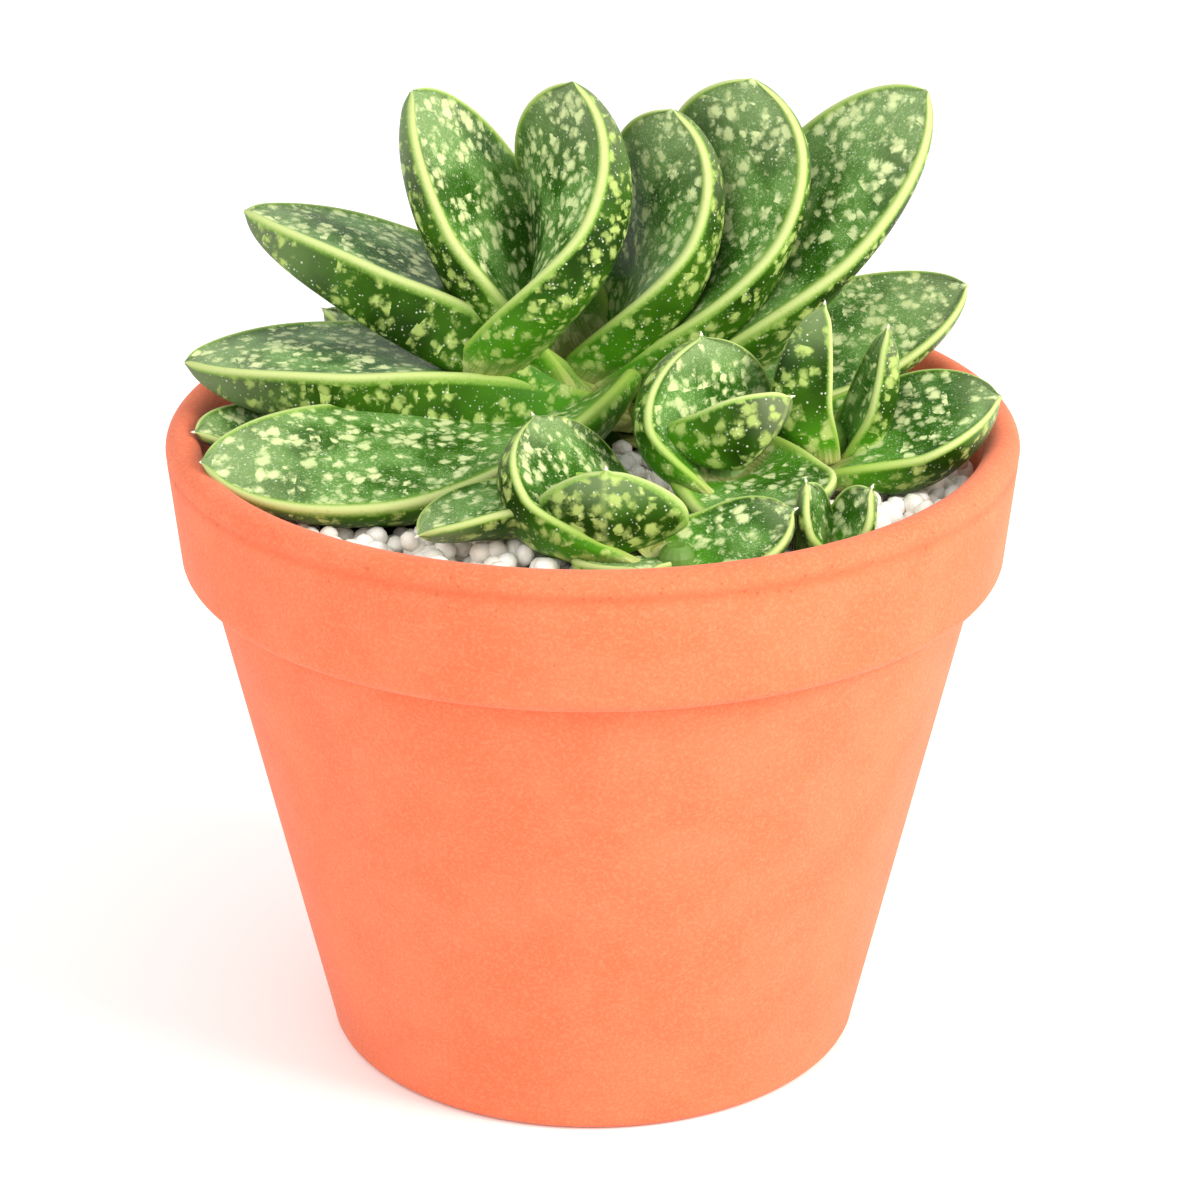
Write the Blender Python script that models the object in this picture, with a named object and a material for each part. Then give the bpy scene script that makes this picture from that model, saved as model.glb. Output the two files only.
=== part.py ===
"""A gasteria and its offsets in a terracotta pot, top-dressed with white pebbles.

Everything is in millimetres until an object is made; one Blender unit is one metre.
The origin is the middle of the pot's base, +Z is up and the plant's best side faces -Y.
"""

import math
import random
from collections import namedtuple

import bmesh
import bpy
from mathutils import Matrix, Vector

MM = 0.001
GAP = 0.3  # what two pieces that touch keep between them
FILL_GAP = 0.4  # the same round the soil and gravel, whose many flat sides come nearer to the pot's
SMOOTH_UNDER = 50.0  # degrees between two faces, above which their edge is sharp

# The pot, a three-quarter pot of 12 cm across the rim
RIM_RADIUS = 60.0
POT_HEIGHT = 93.0
BAND_HEIGHT = 20.0
BAND_LOW_RADIUS = 58.4
BODY_TOP_RADIUS = 54.7
BASE_RADIUS = 38.8
WALL = 5.0
FLOOR = 6.0
DRAIN_RADIUS = 6.0
FOOT_CHAMFER = 1.5
BAND_EDGE = 2.0
BAND_FILLET = 0.8
FLOOR_FILLET = 4.0
POT_SIDES = 56
UPRIGHT_DEPTH = 9.0  # how far down from the rim the inside is upright
BAND_LOW = POT_HEIGHT - BAND_HEIGHT
UPRIGHT_FROM = POT_HEIGHT - UPRIGHT_DEPTH
LIP = WALL / 2  # the rim is fully round

# What fills it
SOIL_TOP = 83.0
GRAVEL_TOP = 87.0
PEBBLE_PITCH = 3.8
PEBBLE_RISE = 2.4
PEBBLE_HEIGHTS = (0.75, 1.15)  # how high a pebble stands, as shares of the rise
PEBBLE_WANDER = 0.22  # how far it lies off its place, as a share of the pitch
HOLLOW_HEIGHT = 0.5  # how much the ground between pebbles varies
PEBBLE_SEED = 11
STEM_FOOT = SOIL_TOP - 14
STEM_DOME = 0.8  # a stem's domed top, as a share of its radius
STEM_FOOT_WIDTH = 0.6
STEM_SIDES = 14

# A leaf's outline: it is widest and deepest just short of the middle, and tapers to its foot
WIDEST = 0.45
FOOT_WIDTH = 0.84
FOOT_DEPTH = 0.4
WIDTH_FALL = 0.62  # the power that rounds its end
DEPTH_FALL = 0.6
DEPTH_BLUNT = 3.2
# Its section, in millimetres for the margin and in shares of the half width or of the depth for the rest
MARGIN_THICK = 1.3
MARGIN_MOST = 0.6
CROWN = 0.06
SHOULDER = 0.7
FLANK_BULGE = 0.11
FLANK_DEPTH = 0.62
RIDGE_HALF = 0.12
RIDGE_DEPTH = 0.97
# A leaf's foot curls round what stands inside it
MAIN_WRAP_END = 0.6  # how far up a leaf of the main rosette the curl dies out, as a share of its length
OFFSET_WRAP_END = 0.42
WRAP_FALL = 1.1
SLANT_MOST = 1.4  # how far the curled sides slant back for each millimetre that they rise, at most

Stem = namedtuple("Stem", "name x y radius top")
STEMS = (
    Stem("main_stem", 0, 12, 7.0, 96),
    Stem("offset_a_stem", 4, -35, 3.5, 93),
    Stem("offset_b_stem", 18, -19, 4.0, 94),
    Stem("offset_c_stem", 32, -8, 3.5, 95),
    Stem("offset_d_stem", 29, -36, 2.2, 91),
    Stem("offset_e_stem", 11, -44, 2.5, 91),
    Stem("offset_f_stem", -36, 6, 3.0, 92),
    Stem("offset_g_stem", -25, 32, 2.8, 92),
)

# A leaf starts out from its stem's axis at a height, on a heading counted from +X towards +Y, and bends
# to another by its tip; its pitch above the level goes the same way. Roll turns its upper face about its own
# length, and twist is what its tip adds to that. Wrap is how far each margin curls over at the foot, in
# degrees. Keel is where the ridge of its back lies, from -1 at its left margin to 1 at its right, seen from
# the stem. The higher blunt is, the rounder its tip.
Leaf = namedtuple(
    "Leaf", "name stem out rise heading bend pitch lift length width depth roll twist wrap keel blunt"
)
LEAVES = (
    Leaf("leaf_l4", "main_stem", 4, 95, 180, 0, 69, -12, 47, 27, 8, -23, 0, 80, -0.5, 2.4),
    Leaf("leaf_r5", "main_stem", -10.5, 95, 20, 0, 80, 0, 44, 31, 9, -52, 85, 75, 0.6, 1.8),
    Leaf("leaf_l3", "main_stem", 3, 92, 178, 0, 49, -38, 55, 25, 10, 0, 0, 80, -0.7, 1.9),
    Leaf("leaf_r6", "main_stem", 2, 94, 5, 0, 72, 10, 41, 27, 8, -20, 65, 100, 0.5, 2.8),
    Leaf("leaf_l2", "main_stem", 4, 89.5, 188, 0, 26, -31, 56, 28, 10, 5, -6, 80, -0.7, 2.2),
    Leaf("leaf_r7", "main_stem", 6, 92, 8, 0, 60, 20, 49, 29, 9, -18, 75, 95, 0.4, 3.2),
    Leaf("leaf_l1", "main_stem", 5, 92.4, 236, -53, 1.5, 0, 61, 30, 9, 8, -30, 90, -0.3, 2.4),
    Leaf("leaf_r8", "main_stem", 8, 89, 5, 0, 54, -8, 61, 28, 9, 5, 35, 90, 0.3, 2.4),
    Leaf("leaf_r9", "main_stem", 8, 88, 15, 0, 18, 0, 51, 24, 8, 22, 0, 70, 0.4, 2.2),
    Leaf("offset_a_leaf_1", "offset_a_stem", 2, 87, 141, 0, 46, 6, 20, 28, 8, 14, 0, 100, -0.4, 2.6),
    Leaf("offset_a_leaf_2", "offset_a_stem", 3, 89, 251, 0, 62, 20, 12, 21, 6, 12, 0, 60, 0.0, 1.8),
    Leaf("offset_a_leaf_3", "offset_a_stem", 1.5, 87.5, 283, 0, 10, -6, 12, 17, 5, 0, 0, 68, 0.0, 2.2),
    Leaf("offset_a_leaf_4", "offset_a_stem", 3, 93, 170, 50, 8, -24, 26, 13, 6, 0, 0, 68, 0.0, 2.2),
    Leaf("offset_b_leaf_1", "offset_b_stem", 1, 90, 116, 0, 66, 12, 20, 26, 8, 20, 0, 90, -0.4, 2.2),
    Leaf("offset_b_leaf_2", "offset_b_stem", -4, 95, 338, 0, 46, -24, 16, 16, 8, -24, 0, 68, 0.3, 2.0),
    Leaf("offset_b_leaf_3", "offset_b_stem", 3, 91.5, 299, 0, 8, -10, 16, 21, 6, 8, 0, 68, 0.0, 2.2),
    Leaf("offset_c_leaf_1", "offset_c_stem", 1, 90, 200, 0, 92, 0, 22, 13, 8, -14, 0, 68, -0.5, 1.6),
    Leaf("offset_c_leaf_2", "offset_c_stem", 3, 89, 5, 0, 74, 0, 20, 10, 4, 10, 0, 68, 0.5, 1.5),
    Leaf("offset_c_leaf_3", "offset_c_stem", 3, 90.5, 0, 0, 31, -20, 23, 22, 8, 14, 0, 68, 0.4, 1.9),
    Leaf("offset_d_leaf_1", "offset_d_stem", -2, 87, 170, 0, 74, 0, 10, 10, 3, -10, 0, 68, 0.0, 2.2),
    Leaf("offset_d_leaf_2", "offset_d_stem", 3, 87, 0, 0, 62, 0, 10, 11, 3, 20, 0, 68, 0.0, 2.2),
    Leaf("offset_e_leaf_1", "offset_e_stem", 0, 88, 15, 0, 22, 0, 17, 15, 5, 15, 0, 68, 0.0, 2.4),
    Leaf("offset_f_leaf_1", "offset_f_stem", 1, 88, 215, 0, 16, -5, 23, 13, 4, -20, 0, 68, 0.0, 2.0),
    Leaf("offset_f_leaf_2", "offset_f_stem", 1, 88, 120, 0, 45, 0, 17, 12, 4, 0, 0, 68, 0.0, 2.0),
    Leaf("offset_g_leaf_1", "offset_g_stem", 1, 88, 175, 0, 35, 0, 17, 12, 4, 0, 0, 68, 0.0, 2.0),
    Leaf("offset_g_leaf_2", "offset_g_stem", 1, 88, 70, 0, 40, 0, 18, 12, 4, 0, 0, 68, 0.0, 2.0),
)
MAIN_RINGS = 10
OFFSET_RINGS = 7
SPINE_STEPS = 4  # steps of the spine from one ring to the next


# What every object needs
def clear_scene():
    for obj in list(bpy.data.objects):
        bpy.data.objects.remove(obj)


def material(name, rgb, roughness):
    """A plain material in linear colour, all of it non-metallic."""
    made = bpy.data.materials.new(name)
    made.use_nodes = True
    shader = made.node_tree.nodes["Principled BSDF"]
    shader.inputs["Base Color"].default_value = (*rgb, 1)
    shader.inputs["Roughness"].default_value = roughness
    shader.inputs["Metallic"].default_value = 0
    return made


def object_from(bm, name, finish=None):
    """The finished mesh as an object, brought from millimetres to metres."""
    bmesh.ops.scale(bm, vec=(MM, MM, MM), verts=bm.verts)
    bmesh.ops.recalc_face_normals(bm, faces=bm.faces)
    mesh = bpy.data.meshes.new(name)
    bm.to_mesh(mesh)
    bm.free()
    mesh.shade_smooth()
    mesh.set_sharp_from_angle(angle=math.radians(SMOOTH_UNDER))
    if finish:
        mesh.materials.append(finish)
    obj = bpy.data.objects.new(name, mesh)
    bpy.context.scene.collection.objects.link(obj)
    return obj


def turned(name, profile, finish=None, sides=POT_SIDES):
    """A solid of revolution about +Z from (radius, height) points that run down its outer side."""
    bm = bmesh.new()
    points = [bm.verts.new((radius, 0, height)) for radius, height in profile]
    edges = [bm.edges.new(pair) for pair in zip(points, points[1:])]
    if profile[0][0] > 0:
        edges.append(bm.edges.new((points[-1], points[0])))
    bmesh.ops.spin(
        bm,
        geom=points + edges,
        cent=(0, 0, 0),
        axis=(0, 0, 1),
        angle=2 * math.pi,
        steps=sides,
        use_merge=True,
    )
    bmesh.ops.remove_doubles(bm, verts=bm.verts, dist=0.001)
    bmesh.ops.dissolve_degenerate(bm, dist=0.001, edges=bm.edges)
    return object_from(bm, name, finish)


def arc(centre, radius, start, end, steps):
    """Points on an arc in the (radius, height) plane, by angles in degrees."""
    turns = [math.radians(start + (end - start) * i / steps) for i in range(steps + 1)]
    return [(centre[0] + radius * math.cos(a), centre[1] + radius * math.sin(a)) for a in turns]


# Cutting one piece clear of others
def box_of(obj):
    """The least and greatest of its points along each axis."""
    along_axes = list(zip(*(vert.co for vert in obj.data.vertices)))
    return [min(values) for values in along_axes], [max(values) for values in along_axes]


def boxes_meet(a, b):
    low_a, high_a = box_of(a)
    low_b, high_b = box_of(b)
    return all(low_a[i] < high_b[i] and low_b[i] < high_a[i] for i in range(3))


def keep_largest(mesh):
    """Drops the loose scraps that a cut can leave."""
    bm = bmesh.new()
    bm.from_mesh(mesh)
    left = set(bm.verts)
    islands = []
    while left:
        island = set()
        front = [left.pop()]
        while front:
            vert = front.pop()
            island.add(vert)
            for edge in vert.link_edges:
                other = edge.other_vert(vert)
                if other in left:
                    left.remove(other)
                    front.append(other)
        islands.append(island)
    islands.sort(key=len)
    for island in islands[:-1]:
        bmesh.ops.delete(bm, geom=list(island), context="VERTS")
    bm.to_mesh(mesh)
    bm.free()


def cut_clear(obj, cutters, operation="DIFFERENCE"):
    """Cuts the object by each cutter whose box meets its own, and keeps the one body that is left."""
    for cutter in cutters:
        if not boxes_meet(obj, cutter):
            continue
        modifier = obj.modifiers.new("cut", "BOOLEAN")
        modifier.operation = operation
        modifier.solver = "EXACT"
        modifier.object = cutter
        graph = bpy.context.evaluated_depsgraph_get()
        mesh = bpy.data.meshes.new_from_object(obj.evaluated_get(graph))
        obj.modifiers.remove(modifier)
        keep_largest(mesh)
        obj.data = mesh


# The pot and what fills it
def inside_radius(height):
    """The pot's inside: it follows the taper outside, opens through the band and is upright above that."""
    taper = BASE_RADIUS - WALL + (BODY_TOP_RADIUS - BASE_RADIUS) * height / BAND_LOW
    if height <= BAND_LOW:
        return taper
    share = min(1.0, (height - BAND_LOW) / (UPRIGHT_FROM - BAND_LOW))
    return inside_radius(BAND_LOW) * (1 - share) + (RIM_RADIUS - WALL) * share


def make_pot(finish):
    lip_centre = (RIM_RADIUS - LIP, POT_HEIGHT - LIP)
    profile = arc(lip_centre, LIP, 90, 0, 4)
    profile += arc((BAND_LOW_RADIUS - BAND_EDGE, BAND_LOW + BAND_EDGE), BAND_EDGE, 0, -90, 3)
    profile += [
        (BODY_TOP_RADIUS + BAND_FILLET, BAND_LOW),
        (BODY_TOP_RADIUS, BAND_LOW - BAND_FILLET),
        (BASE_RADIUS, FOOT_CHAMFER),
        (BASE_RADIUS - FOOT_CHAMFER, 0),
        (DRAIN_RADIUS, 0),
        (DRAIN_RADIUS, FLOOR),
        (inside_radius(FLOOR) - FLOOR_FILLET, FLOOR),
        (inside_radius(FLOOR + FLOOR_FILLET), FLOOR + FLOOR_FILLET),
        (inside_radius(BAND_LOW), BAND_LOW),
        (RIM_RADIUS - WALL, UPRIGHT_FROM),
    ]
    profile += arc(lip_centre, LIP, 180, 90, 4)[:-1]
    return turned("pot", profile, finish)


def fill_profile(low, high):
    """The turned outline of a fill that keeps a gap to the pot's inside, from one height to another."""
    bends = [h for h in (UPRIGHT_FROM, BAND_LOW, FLOOR + FLOOR_FILLET) if low < h < high]
    sides = [(inside_radius(h) - FILL_GAP, h) for h in [high] + bends]
    if low < FLOOR + FLOOR_FILLET:
        sides.append((inside_radius(FLOOR) - FLOOR_FILLET - FILL_GAP, low))
    else:
        sides.append((inside_radius(low) - FILL_GAP, low))
    return [(0, high)] + sides + [(0, low)]


def make_soil(finish):
    return turned("soil", fill_profile(FLOOR + GAP, SOIL_TOP), finish)


def make_gravel(finish):
    """A bed of pebbles: a lattice whose every other point stands up as a pebble, set off its place and height
    by a seeded draw, and cut to the round of the pot."""
    draw = random.Random(PEBBLE_SEED)
    reach = RIM_RADIUS
    cells = int(2 * reach / PEBBLE_PITCH)
    bm = bmesh.new()
    bmesh.ops.create_grid(bm, x_segments=cells, y_segments=cells, size=reach)
    for vert in bm.verts:
        column = round((vert.co.x + reach) / (2 * reach) * cells)
        row = round((vert.co.y + reach) / (2 * reach) * cells)
        shift = PEBBLE_WANDER * PEBBLE_PITCH
        vert.co.x += draw.uniform(-shift, shift)
        vert.co.y += draw.uniform(-shift, shift)
        if (column + row) % 2 == 0:
            rise = PEBBLE_RISE * draw.uniform(*PEBBLE_HEIGHTS)
        else:
            rise = draw.uniform(0, HOLLOW_HEIGHT)
        vert.co.z = GRAVEL_TOP - PEBBLE_RISE + rise
    bmesh.ops.triangulate(bm, faces=bm.faces, quad_method="SHORT_EDGE")
    top = bmesh.ops.extrude_face_region(bm, geom=bm.faces[:])
    for item in top["geom"]:
        if isinstance(item, bmesh.types.BMVert):
            item.co.z = SOIL_TOP
    bed = object_from(bm, "gravel", finish)
    disc = turned("gravel_round", fill_profile(SOIL_TOP + GAP, POT_HEIGHT))
    cut_clear(bed, [disc], "INTERSECT")
    bpy.data.objects.remove(disc)
    return bed


# Stems and leaves
def make_stem(stem, finish=None, grow=0.0):
    """A short stem with a domed top, which stands in a hole through the gravel and into the soil."""
    radius = stem.radius + grow
    top = stem.top + grow
    foot = STEM_FOOT - grow
    profile = [(0, top)] + arc((0, top - radius * STEM_DOME), radius, 60, 0, 3)
    profile += [(radius, SOIL_TOP), (radius * STEM_FOOT_WIDTH, foot), (0, foot)]
    obj = turned(stem.name, profile, finish, STEM_SIDES)
    obj.data.transform(Matrix.Translation((stem.x * MM, stem.y * MM, 0)))
    return obj


def ease(t):
    return t * t * (3 - 2 * t)


def spine_of(leaf, rings):
    """Points along the leaf with its direction and upward normal at each."""
    stem = next(s for s in STEMS if s.name == leaf.stem)
    start = math.radians(leaf.heading)
    place = Vector((stem.x + leaf.out * math.cos(start), stem.y + leaf.out * math.sin(start), leaf.rise))
    steps = SPINE_STEPS * rings
    found = []
    for i in range(steps + 1):
        t = i / steps
        heading = math.radians(leaf.heading + leaf.bend * ease(t))
        pitch = math.radians(leaf.pitch + leaf.lift * ease(t))
        flat = Vector((math.cos(heading), math.sin(heading), 0))
        along = flat * math.cos(pitch) + Vector((0, 0, math.sin(pitch)))
        up = -flat * math.sin(pitch) + Vector((0, 0, math.cos(pitch)))
        roll = Matrix.Rotation(math.radians(leaf.roll + leaf.twist * t), 3, along)
        if i % SPINE_STEPS == 0:
            found.append((t, place.copy(), along, roll @ up))
        place += along * (leaf.length / steps)
    return found


def half_width(leaf, t):
    if t < WIDEST:
        swell = math.sin(t / WIDEST * math.pi / 2)
        return leaf.width / 2 * (FOOT_WIDTH + (1 - FOOT_WIDTH) * swell)
    return leaf.width / 2 * (1 - ((t - WIDEST) / (1 - WIDEST)) ** leaf.blunt) ** WIDTH_FALL


def depth_at(leaf, t):
    swell = math.sin(min(t / WIDEST, 1) * math.pi / 2)
    return leaf.depth * (FOOT_DEPTH + (1 - FOOT_DEPTH) * swell) * (1 - t**DEPTH_BLUNT) ** DEPTH_FALL


def section(leaf, t, grow):
    """The leaf's outline across, as (sideways, upwards) points: a flat upper face, two thick margins and a
    back that falls to the keel."""
    half = half_width(leaf, t) + grow
    lip = min(MARGIN_THICK, half * MARGIN_MOST) / 2 + grow
    low = -max(depth_at(leaf, t) + grow, 2 * lip)
    ridge = leaf.keel * half
    crown = CROWN * half + grow
    bulge = FLANK_BULGE * half
    return [
        (-half + lip / 2, lip),
        (-half / 2, crown * SHOULDER),
        (0, crown),
        (half / 2, crown * SHOULDER),
        (half - lip / 2, lip),
        (half, -lip / 2),
        ((half + ridge) / 2 + bulge, low * FLANK_DEPTH),
        (ridge + half * RIDGE_HALF, low * RIDGE_DEPTH),
        (ridge - half * RIDGE_HALF, low * RIDGE_DEPTH),
        ((ridge - half) / 2 - bulge, low * FLANK_DEPTH),
        (-half, -lip / 2),
    ]


def clasped(leaf, t, points):
    """Curls a section's outline up towards its upper face, as a leaf's foot wraps what stands inside it, and
    slants the curled sides back so that they rise straight up. Each point gains how far back it went."""
    end = MAIN_WRAP_END if leaf.stem == "main_stem" else OFFSET_WRAP_END
    if t >= end:
        return [(side, height, 0.0) for side, height in points]
    turn = math.radians(leaf.wrap) * (1 - t / end) ** WRAP_FALL
    radius = half_width(leaf, t) / turn
    lean = math.tan(math.radians(leaf.pitch))
    slant = math.copysign(min(SLANT_MOST, 1 / max(abs(lean), 0.01)), 90 - leaf.pitch)
    curled = []
    for side, height in points:
        angle = side / radius
        inward = radius - height
        back = slant * radius * (math.cos(angle) - 1)
        curled.append((math.sin(angle) * inward, radius - math.cos(angle) * inward, back))
    return curled


def make_leaf(leaf, finish=None, grow=0.0):
    """Lofts the leaf's sections along its spine by extruding the base section from ring to ring."""
    rings = MAIN_RINGS if leaf.stem == "main_stem" else OFFSET_RINGS
    spine = spine_of(leaf, rings)
    bm = bmesh.new()
    face = base = None
    for t, place, along, up in spine[:-1]:
        across = along.cross(up)
        spot = place - along * (grow if t == 0 else 0)
        outline = clasped(leaf, t, section(leaf, t, grow))
        ring = [spot + across * side + up * height + along * back for side, height, back in outline]
        if face is None:
            face = base = bm.faces.new([bm.verts.new(point) for point in ring])
            continue
        made = bmesh.ops.extrude_face_region(bm, geom=[face])
        if face is not base:
            bmesh.ops.delete(bm, geom=[face], context="FACES_ONLY")
        face = next(item for item in made["geom"] if isinstance(item, bmesh.types.BMFace))
        for vert, point in zip(face.verts, ring):
            vert.co = point
    tip = spine[-1][1] + spine[-1][2] * grow
    poked = bmesh.ops.poke(bm, faces=[face])
    poked["verts"][0].co = tip
    bmesh.ops.triangulate(bm, faces=bm.faces, quad_method="SHORT_EDGE")
    return object_from(bm, leaf.name, finish)


def main():
    clear_scene()
    terracotta = material("terracotta", (0.95, 0.30, 0.16), 0.75)
    peat = material("peat", (0.05, 0.03, 0.02), 0.95)
    pebble = material("white_pebble", (0.85, 0.82, 0.76), 0.7)
    leaf_green = material("leaf_green", (0.06, 0.16, 0.04), 0.4)
    stem_green = material("stem_green", (0.30, 0.32, 0.14), 0.6)
    make_pot(terracotta)
    soil = make_soil(peat)
    gravel = make_gravel(pebble)
    stem_cutters = []
    for stem in STEMS:
        make_stem(stem, stem_green)
        stem_cutters.append(make_stem(stem._replace(name=stem.name + "_hole"), grow=GAP))
    leaf_cutters = []
    leaves = []
    for leaf in LEAVES:
        made = make_leaf(leaf, leaf_green)
        cut_clear(made, stem_cutters + leaf_cutters + leaves)
        leaves.append(made)
        leaf_cutters.append(make_leaf(leaf._replace(name=leaf.name + "_grown"), grow=GAP))
    cut_clear(soil, stem_cutters + leaf_cutters)
    cut_clear(gravel, stem_cutters + leaf_cutters)
    for cutter in stem_cutters + leaf_cutters:
        bpy.data.objects.remove(cutter)


main()
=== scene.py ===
"""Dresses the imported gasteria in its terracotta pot: fine leaves, loose pebbles, fired clay and soft studio light.

Shapes are worked out in millimetres and brought to metres when an object is made.
"""

import math
import random
from collections import namedtuple

import bmesh
import bpy
from mathutils import Matrix, Vector
from mathutils.bvhtree import BVHTree


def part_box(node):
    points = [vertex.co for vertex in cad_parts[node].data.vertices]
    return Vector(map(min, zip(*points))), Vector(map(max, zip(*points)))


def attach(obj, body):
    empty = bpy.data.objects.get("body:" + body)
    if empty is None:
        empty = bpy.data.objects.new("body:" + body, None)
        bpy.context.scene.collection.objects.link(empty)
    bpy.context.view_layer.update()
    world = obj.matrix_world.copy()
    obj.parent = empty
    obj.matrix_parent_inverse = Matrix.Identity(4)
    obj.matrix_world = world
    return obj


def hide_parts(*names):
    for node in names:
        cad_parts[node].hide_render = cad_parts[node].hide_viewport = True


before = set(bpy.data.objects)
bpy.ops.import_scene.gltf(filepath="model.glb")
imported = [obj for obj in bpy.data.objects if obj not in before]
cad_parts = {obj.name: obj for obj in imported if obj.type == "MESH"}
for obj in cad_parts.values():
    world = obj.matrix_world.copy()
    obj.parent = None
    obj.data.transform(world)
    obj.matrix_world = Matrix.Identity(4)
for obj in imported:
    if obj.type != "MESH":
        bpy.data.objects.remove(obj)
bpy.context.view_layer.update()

MM = 0.001
TO_MM = 1000.0
BODY = "root"

# The photograph's view: the camera looks down on the middle of the picture from a little above the rim
PICTURE_SIDE = 1200
FOCAL_PIXELS = 3828
CAMERA_DOWN = 22.66
CAMERA_DISTANCE = 550.0
CAMERA_AIM = Vector((1.01, 0, 65.0))
SENSOR = 36.0

# The pot, from its node
pot_low, pot_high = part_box("pot")
RIM_RADIUS = (pot_high[0] - pot_low[0]) / 2 * TO_MM
POT_HEIGHT = pot_high[2] * TO_MM
BAND_HEIGHT = 20.0
BAND_LOW_RADIUS = 58.4
BODY_TOP_RADIUS = 54.7
BASE_RADIUS = 38.8
WALL = 5.0
FLOOR = 6.0
DRAIN_RADIUS = 6.0
FOOT_ROUND = 1.8
BAND_EDGE = 2.0
BAND_FILLET = 0.9
FLOOR_FILLET = 4.0
UPRIGHT_DEPTH = 9.0
BAND_LOW = POT_HEIGHT - BAND_HEIGHT
UPRIGHT_FROM = POT_HEIGHT - UPRIGHT_DEPTH
LIP = WALL / 2
THROWING_LINE = 3.2  # how far below the rim the potter's tool left its line
THROWING_DEPTH = 0.22
POT_SIDES = 192

# The top-dressing
SOIL_TOP = 83.0
PEBBLE_LAYERS = ((84.6, 1.0), (86.6, 0.72))  # middle height of each layer, and the share of its places filled
PEBBLE_PITCH = 3.05
PEBBLE_RADIUS = (1.35, 1.85)
PEBBLE_WANDER = (0.75, 0.75, 0.5)
PEBBLE_SEED = 7
STONE_KINDS = 12
STONE_LUMP = 0.1
STONE_GRAIN = 0.045
STONE_SQUASH = (0.82, 1.1)

# A leaf's outline: it is widest and deepest just short of the middle, and tapers to its foot
WIDEST = 0.45
FOOT_WIDTH = 0.84
FOOT_DEPTH = 0.4
WIDTH_FALL = 0.62
DEPTH_FALL = 0.6
DEPTH_BLUNT = 3.2
# Its section
MARGIN_RADIUS = 0.85
MARGIN_MOST = 0.34
CROWN = 0.06
FLANK_BULGE = 0.11
FLANK_DEPTH = 0.62
RIDGE_HALF = 0.12
# A leaf's foot curls round what stands inside it
MAIN_WRAP_END = 0.6  # how far up a leaf of the main rosette the curl dies out, as a share of its length
OFFSET_WRAP_END = 0.42
WRAP_FALL = 1.1
SLANT_MOST = 1.4  # how far the curled sides slant back for each millimetre that they rise, at most
RINGS = 18
RING_CROWD = 1.5  # how much closer the rings stand at the tip
SPINE_STEPS = 96
MUCRO_LENGTH = (0.5, 1.2)  # the dry point at the tip of a leaf of the main rosette and of an offset
MUCRO_RADIUS = 0.3
MARGIN_WIDTH = 1.0  # the pale margin of a leaf of the main rosette, which those of the offsets are shares of
OFFSET_MARGIN = 0.62
THICK_MARGINS = {"offset_a_leaf_2": 1.7, "offset_b_leaf_3": 0.9, "leaf_r9": 0.7}
MARGIN_TAPER = 0.4  # how much narrower it is at the tip
SHEATH_END = 0.19  # how far up the leaf its fibrous foot shows
BLOTCH_PITCH = 2.3
SMALL_BLOTCH_PITCH = 1.5
DOT_PITCH = 0.62

STEMS = {
    "main": Vector((0, 12, 0)),
    "a": Vector((4, -35, 0)),
    "b": Vector((18, -19, 0)),
    "c": Vector((32, -8, 0)),
    "d": Vector((29, -36, 0)),
    "e": Vector((11, -44, 0)),
    "f": Vector((-36, 6, 0)),
    "g": Vector((-25, 32, 0)),
}

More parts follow.
